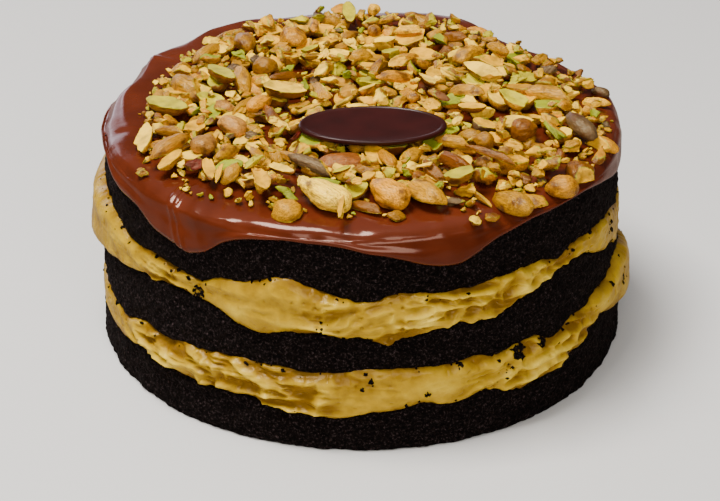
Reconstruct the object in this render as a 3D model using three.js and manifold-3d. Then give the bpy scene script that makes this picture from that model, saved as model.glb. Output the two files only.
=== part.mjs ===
// A round chocolate layer cake: three dark sponges, two pistachio creams spread between them so
// that they squeeze out as uneven bands, a poured chocolate ganache that hangs over the rim, a
// heap of chopped pistachios, and an oval chocolate plaque lying on the nuts.
//
// Millimetres, +Z up. The origin is the middle of the cake's foot, and the side seen from the
// front faces -Y. Angles run counterclockwise from +X, so the front is at 270 degrees.

import * as THREE from "three";
import { mergeVertices } from "three/addons/utils/BufferGeometryUtils.js";
import Module from "manifold-3d";

const wasm = await Module();
wasm.setup();

// ---- Driving sizes ----

const FOOT_RADIUS = 100.2; // of the sponges at the foot; TOP_OUTLINE gives it at the top
const SIDE_WOBBLE = 0.4; // how far the hand-trimmed side wanders in and out
const GAP = 0.3; // clearance between pieces that touch
const STEPS_AROUND = 72;

const LOWER_CREAM_BOTTOM = 21; // the layers' heights inside the cake
const LOWER_CREAM_TOP = 29;
const UPPER_CREAM_BOTTOM = 49;
const UPPER_CREAM_TOP = 58;
const SPONGE_TOP = 84;
const GANACHE_TOP = 88;

const RIM_ZONE = 10; // width of the outer ring in which a joint bends to its edge height
const SPONGE_ROUNDING = 0.9; // how far a sponge's side is pulled in at its edges
const SPONGE_BARREL = 0.3; // how far it swells between them

const HEM_BEAD = 1.9; // thickness of the ganache's rounded lower edge
const LARGEST_NUT = 18;
const SMALLEST_NUT = 8.5;
const NUT_COUNT = 150;
const STRAY_SIZE = 4.5; // pieces that lie apart, on the bare ganache of the rim
const STRAY_TRIES = 40;
const BED_HEIGHT = 1.8; // the layer of finer bits that the larger pieces are bedded in
const BED_LIFT = 0.4; // how far above the ganache the larger pieces rest on it
const HEAP_HEIGHT = 10.5; // of the highest piece above the ganache
const SINK_STEP = 0.5; // how a piece that touches nothing is lowered onto the others
const SINK_STEPS = 8;

const PLAQUE_LENGTH = 54;
const PLAQUE_WIDTH = 28;
const PLAQUE_THICKNESS = 2;
const PLAQUE_PLACE = new THREE.Vector3(4, -33, 95.4); // middle of its underside
const PLAQUE_LEAN = 2; // degrees, its far edge up

// Radius of the sponges at the top, in [degrees, mm]: the cake was cut round by eye, and has a
// flat on the right of its back.
const TOP_OUTLINE = [
  [0, 95.8], [10, 95], [17, 92.3], [24, 90.3], [38, 87.3], [48, 86], [57, 91], [65, 95.6],
  [73, 96], [82, 94.2], [100, 94], [120, 96.2], [130, 95.8], [140, 93.8], [150, 95.8],
  [158, 92.8], [165, 91.8], [174, 94.6], [190, 96], [215, 96.2], [270, 95.6], [315, 96.4],
  [345, 96.2],
];
// Heights of the cream bands' edges round the side, in [degrees, mm]. The bands are much wider
// there than the layers inside, because the cream is squeezed out and wiped over the sponges.
const LOWER_BAND_FOOT = [
  [0, 16], [15, 17], [30, 19], [60, 16], [90, 18.5], [120, 20], [150, 17], [178, 19], [198, 15.5],
  [210, 16.4], [219, 19.5], [226, 16.8], [238, 16.9], [246, 17.2], [255, 14.4], [264, 13.2],
  [270, 15], [278, 16.4], [282.5, 18.8], [288, 16.6], [297, 19.1], [307, 13.9], [318, 18.6],
  [324, 21], [330, 26.3], [336, 23.2], [345, 18.6],
];
const LOWER_BAND_HEAD = [
  [0, 35], [12, 31], [30, 30], [60, 33.5], [90, 31], [120, 28.5], [150, 31], [180, 26.5],
  [198, 26.5], [209, 25.2], [217, 29], [225, 28.6], [231, 29.8], [249, 31.4], [262, 30.4],
  [273, 32.5], [288, 31.9], [294, 33.4], [298, 31.7], [309, 33.9], [314, 29.6], [320, 33.5],
  [327, 33.1], [331, 36], [336, 35.2], [343, 38], [351, 38.6],
];
const UPPER_BAND_FOOT = [
  [0, 45.5], [30, 46], [60, 50], [90, 46.5], [120, 45], [150, 48], [172, 43.5], [187, 41],
  [198, 44], [210, 47], [217, 49.4], [228, 50.7], [235, 50.4], [240, 48], [244, 45.3],
  [249, 44.3], [255, 46.4], [270, 45.6], [276, 42.7], [282, 46], [289, 49.2], [296, 47.6],
  [303, 50.2], [310, 55.3], [318, 56.8], [325, 56.2], [330, 52.7], [336, 48.8], [343, 45.6],
];
const UPPER_BAND_HEAD = [
  [0, 57.5], [14, 60], [30, 61.5], [60, 64.5], [90, 61], [120, 64], [150, 62], [172, 65],
  [190, 63], [202, 62], [211, 58], [217, 58.6], [228, 58.8], [234, 57.5], [239, 61], [244, 61.6],
  [253, 66.4], [260, 63.7], [268, 59.5], [272.5, 59.2], [277, 62], [290, 60.8], [301, 62.2],
  [311, 62.6], [316, 60.2], [321, 62.6], [334, 61.7], [342, 60], [349, 57.2],
];
// How far the cream stands out past the sponges, likewise.
const LOWER_BULGE = [
  [0, 4.2], [20, 2.6], [60, 1.8], [95, 2.8], [130, 2], [180, 1], [210, 1.6], [240, 2.2],
  [270, 2.6], [300, 2.2], [325, 2.4], [340, 4], [350, 5],
];
const UPPER_BULGE = [
  [0, 0.8], [40, 1.8], [80, 2.8], [120, 2.2], [160, 3.6], [188, 5.4], [205, 3], [218, 1.4],
  [234, 0.8], [252, 3], [276, 2], [292, 2.6], [312, 1.4], [330, 1.8], [345, 1],
];
// The ganache's hem, which hangs in broad soft drips, and the outline of the heap of nuts.
const HEM_HEIGHT = [
  [0, 75], [18, 80], [45, 76.5], [68, 81], [92, 82], [112, 77], [135, 81.5], [160, 80], [180, 82],
  [196, 82.3], [202, 79.6], [208, 77], [216, 76.8], [221, 73], [228, 70.1], [232, 68.6],
  [236, 71], [241, 77.3], [247, 80.8], [256, 82], [265, 81.5], [273, 78.5], [279, 76.5],
  [288, 72.4], [292, 74.7], [297, 78], [303, 80.4], [309, 82.2], [324, 82], [333, 79.2],
  [342, 75.2], [350, 73.2],
];
const HEAP_EDGE = [
  [0, 92.5], [12, 91], [22, 88], [35, 85.5], [48, 83.5], [56, 87], [65, 91], [90, 91],
  [114, 88], [138, 87], [152, 84], [168, 82], [188, 82.5], [200, 85], [211, 90], [232, 89.5],
  [247, 86.5], [256, 90], [275, 87], [285, 85], [296, 91], [315, 93], [335, 94],
];

// ---- Curves and draws ----

const clamp = (t) => Math.min(Math.max(t, 0), 1);

// The value at an angle, in radians, of a closed curve through [degrees, value] pairs.
function around(pairs, angle) {
  const at = (((THREE.MathUtils.radToDeg(angle) % 360) + 360) % 360);
  const count = pairs.length;
  const pair = (i) => {
    const turn = Math.floor(i / count);
    const [degrees, value] = pairs[i - turn * count];
    return [degrees + 360 * turn, value];
  };
  let i = 0;
  while (i + 1 < count && pairs[i + 1][0] <= at) i++;
  const [before, from, to, after] = [pair(i - 1), pair(i), pair(i + 1), pair(i + 2)];
  const span = to[0] - from[0];
  const t = (at - from[0]) / span;
  const slopeFrom = ((to[1] - before[1]) / (to[0] - before[0])) * span;
  const slopeTo = ((after[1] - from[1]) / (after[0] - from[0])) * span;
  return (
    from[1] * (1 + 2 * t) * (1 - t) ** 2 +
    slopeFrom * t * (1 - t) ** 2 +
    to[1] * t * t * (3 - 2 * t) +
    slopeTo * t * t * (t - 1)
  );
}

// A number from 0 to 1 that looks random and is the same each time for piece i and question k.
function draw(i, k) {
  const x = Math.sin(i * 12.9898 + k * 78.233) * 43758.5453;
  return x - Math.floor(x);
}

// The sponges' side: round at the foot, cut to the outline at the top, wandering in between.
function sideRadius(angle, z) {
  const height = z / SPONGE_TOP;
  const cut = height * (around(TOP_OUTLINE, angle) - FOOT_RADIUS);
  const wander = Math.sin(Math.PI * height) * Math.cos(3 * angle + 0.07 * z);
  return FOOT_RADIUS + cut + SIDE_WOBBLE * wander;
}

// ---- Round solids, swept from a profile that changes with the angle ----

// profile(angle) gives [radius, height] points from the lower side to the upper side. The solid
// closes on the axis at the first and last heights that profile gives for angle 0. Each four-sided
// patch is cut from its inner to its outer corner, so two faces on the same rings stay parallel.
function sweptSolid(profile) {
  const rows = [];
  for (let s = 0; s < STEPS_AROUND; s++) {
    rows.push(profile((s / STEPS_AROUND) * 2 * Math.PI));
  }
  const perRow = rows[0].length;
  const positions = [];
  rows.forEach((row, s) => {
    const angle = (s / STEPS_AROUND) * 2 * Math.PI;
    for (const [r, z] of row) positions.push(r * Math.cos(angle), r * Math.sin(angle), z);
  });
  const foot = STEPS_AROUND * perRow;
  positions.push(0, 0, rows[0][0][1], 0, 0, rows[0][perRow - 1][1]);
  const faces = [];
  for (let s = 0; s < STEPS_AROUND; s++) {
    const here = s * perRow;
    const next = ((s + 1) % STEPS_AROUND) * perRow;
    faces.push(foot, next, here);
    for (let p = 0; p + 1 < perRow; p++) {
      const [a, b, c, d] = [here + p, next + p, next + p + 1, here + p + 1];
      const inward = rows[s][p + 1][0] < rows[s][p][0];
      faces.push(...(inward ? [a, b, d, b, c, d] : [a, b, c, a, c, d]));
    }
    faces.push(foot + 1, here + perRow - 1, next + perRow - 1);
  }
  const geometry = new THREE.BufferGeometry();
  geometry.setAttribute("position", new THREE.Float32BufferAttribute(positions, 3));
  geometry.setIndex(faces);
  geometry.computeVertexNormals();
  return geometry;
}

// A joint between two layers, from the level part inside to its edge at the side.
function joint(level, edge, lift, angle) {
  const edgeHeight = around(edge, angle);
  const outer = sideRadius(angle, edgeHeight) - SPONGE_ROUNDING;
  return [
    [outer - RIM_ZONE, level + lift],
    [outer, edgeHeight + lift],
  ];
}

// A sponge's side between the edges of the joints below and above it.
function spongeSide(angle, low, high) {
  const middle = (low + high) / 2;
  const rounding = SPONGE_ROUNDING;
  return [
    [sideRadius(angle, low) + 0.1, low + rounding],
    [sideRadius(angle, middle) + SPONGE_BARREL, middle],
    [sideRadius(angle, high) + 0.1, high - rounding],
  ];
}

// The cream's outer face: a soft lip that stands out past the sponges.
function creamLip(angle, low, high, bulge) {
  const height = high - low;
  return [
    [sideRadius(angle, low) + 0.45 * bulge, low + 0.08 * height],
    [sideRadius(angle, low) + bulge, low + 0.42 * height],
    [sideRadius(angle, high) + 0.5 * bulge, high - 0.1 * height],
  ];
}

function bottomSponge(angle) {
  const head = joint(LOWER_CREAM_BOTTOM, LOWER_BAND_FOOT, 0, angle);
  const high = head[head.length - 1][1];
  const footEdge = sideRadius(angle, 0) - SPONGE_ROUNDING;
  return [[footEdge, 0], ...spongeSide(angle, 0, high), ...head.reverse()];
}

function lowerCream(angle) {
  const foot = joint(LOWER_CREAM_BOTTOM, LOWER_BAND_FOOT, GAP, angle);
  const head = joint(LOWER_CREAM_TOP, LOWER_BAND_HEAD, 0, angle);
  const [low, high] = [foot[foot.length - 1][1], head[head.length - 1][1]];
  return [...foot, ...creamLip(angle, low, high, around(LOWER_BULGE, angle)), ...head.reverse()];
}

function middleSponge(angle) {
  const foot = joint(LOWER_CREAM_TOP, LOWER_BAND_HEAD, GAP, angle);
  const head = joint(UPPER_CREAM_BOTTOM, UPPER_BAND_FOOT, 0, angle);
  const [low, high] = [foot[foot.length - 1][1], head[head.length - 1][1]];
  return [...foot, ...spongeSide(angle, low, high), ...head.reverse()];
}

function upperCream(angle) {
  const foot = joint(UPPER_CREAM_BOTTOM, UPPER_BAND_FOOT, GAP, angle);
  const head = joint(UPPER_CREAM_TOP, UPPER_BAND_HEAD, 0, angle);
  const [low, high] = [foot[foot.length - 1][1], head[head.length - 1][1]];
  return [...foot, ...creamLip(angle, low, high, around(UPPER_BULGE, angle)), ...head.reverse()];
}

function topSponge(angle) {
  const foot = joint(UPPER_CREAM_TOP, UPPER_BAND_HEAD, GAP, angle);
  const low = foot[foot.length - 1][1];
  const shoulder = sideRadius(angle, SPONGE_TOP);
  return [
    ...foot,
    ...spongeSide(angle, low, SPONGE_TOP).slice(0, 2),
    [shoulder, SPONGE_TOP - SPONGE_ROUNDING],
    [shoulder - SPONGE_ROUNDING, SPONGE_TOP],
  ];
}

// The ganache: a level coat that rounds over the shoulder and ends in a thick hanging hem.
function ganacheCoat(angle) {
  const hem = around(HEM_HEIGHT, angle);
  const wall = sideRadius(angle, hem) + SPONGE_BARREL + GAP;
  const shoulderHeight = SPONGE_TOP - SPONGE_ROUNDING;
  const side = (t) => hem + (shoulderHeight - hem) * t;
  const bead = HEM_BEAD * (0.7 + 0.3 * clamp((shoulderHeight - hem) / 10));
  return [
    [wall - SPONGE_ROUNDING - 1, SPONGE_TOP + GAP],
    [wall, shoulderHeight + GAP],
    [wall, side(0.3)],
    [wall + 0.4 * bead, hem],
    [wall + bead, side(0.2) + 0.6],
    [wall + 0.8 * bead, side(0.75) + 0.8],
    [wall + 0.35 * bead, SPONGE_TOP + 1.6],
    [wall - 2.5, GANACHE_TOP - 0.9],
    [wall - 7, GANACHE_TOP],
  ];
}

// ---- Chopped pistachios ----

const nutFloor = GANACHE_TOP + GAP;
const plaqueHalfLength = PLAQUE_LENGTH / 2;
const plaqueHalfWidth = PLAQUE_WIDTH / 2;

// The size, lie and colour of piece number i: halves of kernels first, then ever smaller bits.
function nutSize(i) {
  const share = clamp(i / NUT_COUNT);
  const length = LARGEST_NUT + (SMALLEST_NUT - LARGEST_NUT) * share ** 0.55;
  const long = length * (0.85 + 0.3 * draw(i, 1));
  const wide = long * (0.5 + 0.2 * draw(i, 2) + 0.15 * share);
  const high = wide * (0.55 + 0.3 * draw(i, 3));
  return { long, wide, high, reach: 0.42 * Math.sqrt(long * wide) };
}

// How low a piece comes to rest at x, y on the pieces that lie there already.
function restHeight(size, x, y, lying) {
  let z = nutFloor + BED_LIFT + size.high / 2;
  for (const other of lying) {
    const apart = Math.hypot(x - other.x, y - other.y) / (size.reach + other.reach);
    if (apart < 1) {
      const stacked = 0.3 * (size.high + other.high) * Math.sqrt(1 - apart * apart);
      z = Math.max(z, other.z + stacked);
    }
  }
  const inPlaque = Math.hypot(
    (x - PLAQUE_PLACE.x) / (plaqueHalfLength + size.reach),
    (y - PLAQUE_PLACE.y) / (plaqueHalfWidth + size.reach),
  );
  const ceiling = inPlaque < 1 ? PLAQUE_PLACE.z - 1.6 : nutFloor + HEAP_HEIGHT;
  return z + size.high / 2 > ceiling ? Infinity : z;
}

// Each piece is tried at a few spots and stays where it lies lowest.
function placeNuts() {
  const lying = [];
  for (let i = 0; i < NUT_COUNT; i++) {
    const size = nutSize(i);
    let best = null;
    for (let attempt = 0; attempt < 8; attempt++) {
      const angle = 2 * Math.PI * draw(i, 10 + attempt);
      const edge = around(HEAP_EDGE, angle) - size.reach;
      const radius = edge * Math.sqrt(draw(i, 30 + attempt));
      const x = radius * Math.cos(angle);
      const y = radius * Math.sin(angle);
      const z = restHeight(size, x, y, lying);
      if (z < Infinity && (!best || z < best.z)) best = { i, x, y, z, ...size };
    }
    if (best) lying.push(best);
  }
  return lying;
}

// Small pieces on the bare ganache between the heap and the rim, where there is room for one.
function placeStrays() {
  const strays = [];
  for (let i = 0; i < STRAY_TRIES; i++) {
    const long = STRAY_SIZE * (0.8 + 0.4 * draw(i, 61));
    const reach = long / 2;
    const angle = 2 * Math.PI * draw(i, 60);
    const radius = around(HEAP_EDGE, angle) + reach + 1;
    const [x, y] = [radius * Math.cos(angle), radius * Math.sin(angle)];
    const inside = radius + reach < sideRadius(angle, SPONGE_TOP) - 1;
    const alone = strays.every((other) => Math.hypot(x - other.x, y - other.y) > 4 * reach);
    if (inside && alone) {
      const high = 0.6 * long;
      strays.push({ i: NUT_COUNT + i, x, y, z: GANACHE_TOP, long, wide: 0.8 * long, high });
    }
  }
  return strays;
}

// One coarse piece: a kernel split flat along its length, or a rounder chunk.
function nutGeometry(nut, floor) {
  const split = draw(nut.i, 4) < 0.6;
  const geometry = mergeVertices(
    new THREE.IcosahedronGeometry(1, 0).deleteAttribute("normal").deleteAttribute("uv"),
  );
  const place = geometry.getAttribute("position");
  for (let v = 0; v < place.count; v++) {
    if (split && place.getZ(v) < -0.25) place.setZ(v, -0.25);
  }
  geometry.scale(nut.long / 2, nut.wide / 2, nut.high / 2);
  geometry.rotateX((draw(nut.i, 5) - 0.5) * 0.9 + (draw(nut.i, 6) < 0.5 ? Math.PI : 0));
  geometry.rotateY((draw(nut.i, 7) - 0.5) * 0.5);
  geometry.rotateZ(2 * Math.PI * draw(nut.i, 8));
  geometry.translate(nut.x, nut.y, nut.z);
  geometry.computeBoundingBox();
  geometry.translate(0, 0, Math.max(0, floor - geometry.boundingBox.min.z));
  return geometry;
}

// The bed of fine bits that the pieces are sunk in: low, uneven, thin at its outline.
function nutBed(angle) {
  const edge = around(HEAP_EDGE, angle) - 4 + 1.5 * Math.sin(11 * angle);
  const bump = 0.5 * Math.sin(7 * angle + 1);
  return [
    [edge, nutFloor],
    [edge, nutFloor + 1.2],
    [edge - 5, nutFloor + BED_HEIGHT + bump],
    [edge - 30, nutFloor + BED_HEIGHT],
  ];
}

// ---- Joining pieces into one closed solid ----

function toSolid(geometry) {
  const bare = geometry.clone();
  bare.deleteAttribute("normal");
  bare.deleteAttribute("uv");
  const merged = mergeVertices(bare);
  return new wasm.Manifold(
    new wasm.Mesh({
      numProp: 3,
      vertProperties: new Float32Array(merged.getAttribute("position").array),
      triVerts: new Uint32Array(merged.index.array),
    }),
  );
}

// Pieces joined to a base one by one. A piece that touches nothing yet sinks until it does, and is
// left out when it would have to sink further than its own height.
function fused(base, pieces) {
  let whole = toSolid(base);
  for (const piece of pieces) {
    let solid = toSolid(piece);
    for (let sunk = 0; sunk < SINK_STEPS && whole.intersect(solid).isEmpty(); sunk++) {
      solid = toSolid(piece.translate(0, 0, -SINK_STEP));
    }
    if (!whole.intersect(solid).isEmpty()) whole = whole.add(solid);
  }
  const { vertProperties, triVerts } = whole.getMesh();
  const geometry = new THREE.BufferGeometry();
  geometry.setAttribute("position", new THREE.Float32BufferAttribute(vertProperties, 3));
  geometry.setIndex(Array.from(triVerts));
  geometry.computeVertexNormals();
  return geometry;
}

// ---- The plaque ----

function plaqueGeometry() {
  const a = plaqueHalfLength;
  const t = PLAQUE_THICKNESS;
  const profile = [
    [0, 0], [a - 1.2, 0], [a, 0.5 * t], [a - 0.5, 0.95 * t], [a - 1.2, t],
    [a - 2.4, 0.82 * t], [0, 0.82 * t],
  ].map(([r, z]) => new THREE.Vector2(r, z));
  const geometry = new THREE.LatheGeometry(profile, 40);
  geometry.rotateX(Math.PI / 2);
  geometry.scale(1, PLAQUE_WIDTH / PLAQUE_LENGTH, 1);
  return geometry;
}

// ---- The cake ----

const spongeFinish = new THREE.MeshStandardMaterial({ color: 0x1c1312, roughness: 0.95 });
const creamFinish = new THREE.MeshStandardMaterial({ color: 0xbb9030, roughness: 0.45 });
const ganacheFinish = new THREE.MeshStandardMaterial({ color: 0x6b2a12, roughness: 0.18 });
const nutFinish = new THREE.MeshStandardMaterial({ color: 0xc79a3c, roughness: 0.55 });
const plaqueFinish = new THREE.MeshStandardMaterial({ color: 0x3d1a1c, roughness: 0.3 });

const cake = new THREE.Group();

function addPiece(name, geometry, finish) {
  const piece = new THREE.Mesh(geometry, finish);
  piece.name = name;
  cake.add(piece);
  return piece;
}

addPiece("sponge_bottom", sweptSolid(bottomSponge), spongeFinish);
addPiece("cream_lower", sweptSolid(lowerCream), creamFinish);
addPiece("sponge_middle", sweptSolid(middleSponge), spongeFinish);
addPiece("cream_upper", sweptSolid(upperCream), creamFinish);
addPiece("sponge_top", sweptSolid(topSponge), spongeFinish);

const strayPieces = placeStrays().map((nut) => nutGeometry(nut, GANACHE_TOP - 1));
addPiece("ganache", fused(sweptSolid(ganacheCoat), strayPieces), ganacheFinish);

const heapPieces = placeNuts().map((nut) => nutGeometry(nut, nutFloor));
addPiece("nut_heap", fused(sweptSolid(nutBed), heapPieces), nutFinish);

const plaque = addPiece("plaque", plaqueGeometry(), plaqueFinish);
plaque.position.copy(PLAQUE_PLACE);
plaque.rotation.x = THREE.MathUtils.degToRad(PLAQUE_LEAN);

export default cake;
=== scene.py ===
# A round chocolate layer cake on a pale floor: three near-black sponges, two bands of pistachio
# cream that were squeezed out and wiped along the side, a poured milk-chocolate ganache, a heap of
# chopped roasted pistachios, and an oval plaque of dark chocolate.
#
# Metres, +Z up. Angles run counterclockwise from +X, so the front is at 270 degrees. Sizes are
# given in millimetres where they are easier to read that way, and multiplied by MM.

import math

import bmesh
import bpy
import numpy as np
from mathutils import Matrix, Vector
from mathutils import noise


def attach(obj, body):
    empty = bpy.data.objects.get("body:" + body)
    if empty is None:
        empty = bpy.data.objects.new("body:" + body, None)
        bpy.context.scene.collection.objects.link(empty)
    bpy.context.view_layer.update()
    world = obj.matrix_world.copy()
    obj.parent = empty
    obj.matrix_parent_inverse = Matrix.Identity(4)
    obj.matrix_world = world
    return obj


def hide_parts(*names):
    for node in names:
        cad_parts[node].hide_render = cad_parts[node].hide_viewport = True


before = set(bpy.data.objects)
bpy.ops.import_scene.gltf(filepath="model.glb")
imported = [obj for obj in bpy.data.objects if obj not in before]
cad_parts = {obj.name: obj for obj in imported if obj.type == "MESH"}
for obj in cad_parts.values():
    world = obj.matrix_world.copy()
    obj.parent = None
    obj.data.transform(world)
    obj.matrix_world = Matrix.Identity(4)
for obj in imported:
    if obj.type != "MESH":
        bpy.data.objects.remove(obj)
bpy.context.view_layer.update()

# ---------------------------------------------------------------------------------------------
# Camera: where the photographer's was, as far as a fit to the photograph tells. It looks down at
# the cake from the front, and its lens makes the cake as wide in the picture.

MM = 0.001
CAMERA_AIM = Vector((-0.6, 0, 26.2)) * MM
CAMERA_DISTANCE = 0.9
CAMERA_HEIGHT = math.radians(29.2)

camera_data = bpy.data.cameras.new("Camera")
camera_data.sensor_width = 36
camera_data.lens = 115.6
camera_data.clip_start = 0.05
camera = bpy.data.objects.new("Camera", camera_data)
bpy.context.scene.collection.objects.link(camera)
bpy.context.scene.camera = camera
back_and_up = Vector((0, -math.cos(CAMERA_HEIGHT), math.sin(CAMERA_HEIGHT)))
camera.location = CAMERA_AIM + CAMERA_DISTANCE * back_and_up
camera.rotation_euler = (math.pi / 2 - CAMERA_HEIGHT, 0, 0)

# ---------------------------------------------------------------------------------------------
# Sponges: chocolate chiffon discs, baked almost black and cut with a saw knife, so their sides
# are open crumb, full of pores and torn specks. Their pale specks are partly painted glints.

# The cut side of the cake. Each curve runs once round it, as [degrees, mm] pairs.

FOOT_RADIUS = 100.2
SPONGE_TOP = 84.0

TOP_OUTLINE = [
    [0, 95.8], [10, 95], [17, 92.3], [24, 90.3], [38, 87.3], [48, 86], [57, 91], [65, 95.6],
    [73, 96], [82, 94.2], [100, 94], [120, 96.2], [130, 95.8], [140, 93.8], [150, 95.8],
    [158, 92.8], [165, 91.8], [174, 94.6], [190, 96], [215, 96.2], [270, 95.6], [315, 96.4],
    [345, 96.2],
]
LOWER_BAND_FOOT = [
    [0, 16], [15, 17], [30, 19], [60, 16], [90, 18.5], [120, 20], [150, 17], [178, 19],
    [198, 15.5], [210, 16.4], [219, 19.5], [226, 16.8], [238, 16.9], [246, 17.2], [255, 14.4],
    [264, 13.2], [270, 15], [278, 16.4], [282.5, 18.8], [288, 16.6], [297, 19.1], [307, 13.9],
    [318, 18.6], [324, 21], [330, 26.3], [336, 23.2], [345, 18.6],
]
LOWER_BAND_HEAD = [
    [0, 35], [12, 31], [30, 30], [60, 33.5], [90, 31], [120, 28.5], [150, 31], [180, 26.5],
    [198, 26.5], [209, 25.2], [217, 29], [225, 28.6], [231, 29.8], [249, 31.4], [262, 30.4],
    [273, 32.5], [288, 31.9], [294, 33.4], [298, 31.7], [309, 33.9], [314, 29.6], [320, 33.5],
    [327, 33.1], [331, 36], [336, 35.2], [343, 38], [351, 38.6],
]
UPPER_BAND_FOOT = [
    [0, 45.5], [30, 46], [60, 50], [90, 46.5], [120, 45], [150, 48], [172, 43.5], [187, 41],
    [198, 44], [210, 47], [217, 49.4], [228, 50.7], [235, 50.4], [240, 48], [244, 45.3],
    [249, 44.3], [255, 46.4], [270, 45.6], [276, 42.7], [282, 46], [289, 49.2], [296, 47.6],
    [303, 50.2], [310, 55.3], [318, 56.8], [325, 56.2], [330, 52.7], [336, 48.8], [343, 46],
    [348.5, 41.2], [353, 42.4],
]
UPPER_BAND_HEAD = [
    [0, 57.5], [14, 60], [30, 61.5], [60, 64.5], [90, 61], [120, 64], [150, 62], [172, 65],
    [190, 63], [202, 62], [211, 58], [217, 58.6], [228, 58.8], [234, 57.5], [239, 61],
    [244, 61.6], [253, 66.4], [260, 63.7], [268, 59.5], [272.5, 59.2], [277, 62], [290, 60.8],
    [301, 62.2], [311, 62.6], [316, 60.2], [321, 62.6], [334, 61.7], [342, 60], [349, 57.2],
]


def around(pairs, angle):
    """Values at angles, in radians, of a smooth closed curve through [degrees, value] pairs."""
    angle = np.asarray(angle, dtype=float)
    at = np.degrees(angle) % 360
    degrees = np.array([p[0] for p in pairs], dtype=float)
    values = np.array([p[1] for p in pairs], dtype=float)
    degrees = np.concatenate([degrees[-2:] - 360, degrees, degrees[:3] + 360])
    values = np.concatenate([values[-2:], values, values[:3]])
    i = np.searchsorted(degrees, at, side="right") - 1
    span = degrees[i + 1] - degrees[i]
    t = (at - degrees[i]) / span
    slope_from = (values[i + 1] - values[i - 1]) / (degrees[i + 1] - degrees[i - 1]) * span
    slope_to = (values[i + 2] - values[i]) / (degrees[i + 2] - degrees[i]) * span
    return (
        values[i] * (1 + 2 * t) * (1 - t) ** 2
        + slope_from * t * (1 - t) ** 2
        + values[i + 1] * t * t * (3 - 2 * t)
        + slope_to * t * t * (t - 1)
    )


def side_radius(angle, z):
    """Radius of the sponges' side, in mm: round at the foot, cut to the outline at the top."""
    height = np.asarray(z) / SPONGE_TOP
    cut = height * (around(TOP_OUTLINE, angle) - FOOT_RADIUS)
    wander = np.sin(np.pi * height) * np.cos(3 * angle + 0.07 * z)
    return FOOT_RADIUS + cut + 0.4 * wander


# The radius, the lowest z and the height that wrinkles are spread over, in mm.
WRINKLED_RADIUS = 98
WRINKLED_FROM = -5
WRINKLED_HEIGHT = 110


def wrinkle(angle, z, size_around, size_up, seed):
    """Smooth unevenness from -1 to 1 on the side of the cake, with features of these mm."""
    cells = max(3, round(2 * math.pi * WRINKLED_RADIUS / size_around))
    rows = int(WRINKLED_HEIGHT / size_up) + 4
    lattice = np.random.default_rng(seed).uniform(-1, 1, (rows, cells))
    u = (np.asarray(angle) / (2 * math.pi) % 1) * cells
    v = np.clip((np.asarray(z) - WRINKLED_FROM) / size_up, 0, rows - 2.001)
    i, j = np.floor(u).astype(int), np.floor(v).astype(int)
    s, t = u - i, v - j
    s, t = s * s * (3 - 2 * s), t * t * (3 - 2 * t)
    low = lattice[j, i % cells] * (1 - s) + lattice[j, (i + 1) % cells] * s
    high = lattice[j + 1, i % cells] * (1 - s) + lattice[j + 1, (i + 1) % cells] * s
    return low * (1 - t) + high * t


def swept_mesh(name, radius, height):
    """A closed round mesh from rows of mm: [step round, point from its lower to its upper side]."""
    steps, points = radius.shape
    angle = np.arange(steps) / steps * 2 * math.pi
    ring = np.stack(
        [radius * np.cos(angle)[:, None], radius * np.sin(angle)[:, None], height], axis=-1
    )
    middle = [[0, 0, height[:, 0].mean()], [0, 0, height[:, -1].mean()]]
    vertices = np.concatenate([ring.reshape(-1, 3), middle]) * MM
    here = np.arange(steps)[:, None] * points + np.arange(points - 1)[None, :]
    there = (np.arange(steps)[:, None] + 1) % steps * points + np.arange(points - 1)[None, :]
    walls = np.stack([here, there, there + 1, here + 1], axis=-1).reshape(-1, 4).tolist()
    first = np.arange(steps) * points
    following = np.roll(first, -1)
    foot = [[steps * points, int(b), int(a)] for a, b in zip(first, following)]
    last = points - 1
    head = [[steps * points + 1, int(a) + last, int(b) + last] for a, b in zip(first, following)]
    mesh = bpy.data.meshes.new(name)
    mesh.from_pydata(vertices.tolist(), [], walls + foot + head)
    mesh.polygons.foreach_set("use_smooth", [True] * len(mesh.polygons))
    mesh.update()
    return mesh


def add_piece(name, mesh, material, slot, *nodes):
    """A shown piece that stands for CAD nodes."""
    piece = bpy.data.objects.new(name, mesh)
    bpy.context.scene.collection.objects.link(piece)
    mesh.materials.clear()
    mesh.materials.append(material)
    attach(piece, "root")
    if nodes:
        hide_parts(*nodes)
    return piece


def new_material(name):
    """An empty node material: its tree, its Principled shader and its object coordinates."""
    material = bpy.data.materials.new(name)
    material.use_nodes = True
    tree = material.node_tree
    place = tree.nodes.new("ShaderNodeTexCoord")
    return material, tree, tree.nodes["Principled BSDF"], place.outputs["Object"]


def set_sockets(tree, node, sockets):
    """Gives a node's inputs their values, or links them to other nodes' outputs."""
    for socket, value in sockets.items():
        if isinstance(value, bpy.types.NodeSocket):
            tree.links.new(value, node.inputs[socket])
        else:
            node.inputs[socket].default_value = value


def add_node(tree, kind, sockets, **settings):
    """A new node with its settings and its inputs."""
    node = tree.nodes.new(kind)
    for setting, value in settings.items():
        setattr(node, setting, value)
    set_sockets(tree, node, sockets)
    return node


def new_effect(name, inputs, outputs):
    """An empty shader group for several materials, what goes into it and where it ends."""
    effect = bpy.data.node_groups.new(name, "ShaderNodeTree")
    for way, sockets in [("INPUT", inputs), ("OUTPUT", outputs)]:
        for socket, kind in sockets.items():
            effect.interface.new_socket(socket, in_out=way, socket_type="NodeSocket" + kind)
    given = effect.nodes.new("NodeGroupInput").outputs
    return effect, given, effect.nodes.new("NodeGroupOutput")


def speckle_from(effect, given):
    """A noise that takes its place, scale, detail and roughness from a group's inputs."""
    sockets = {name: given[name] for name in ("Scale", "Detail", "Roughness")}
    noise_node = add_node(effect, "ShaderNodeTexNoise", {"Vector": given["Place"], **sockets})
    return noise_node.outputs["Fac"]


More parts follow.
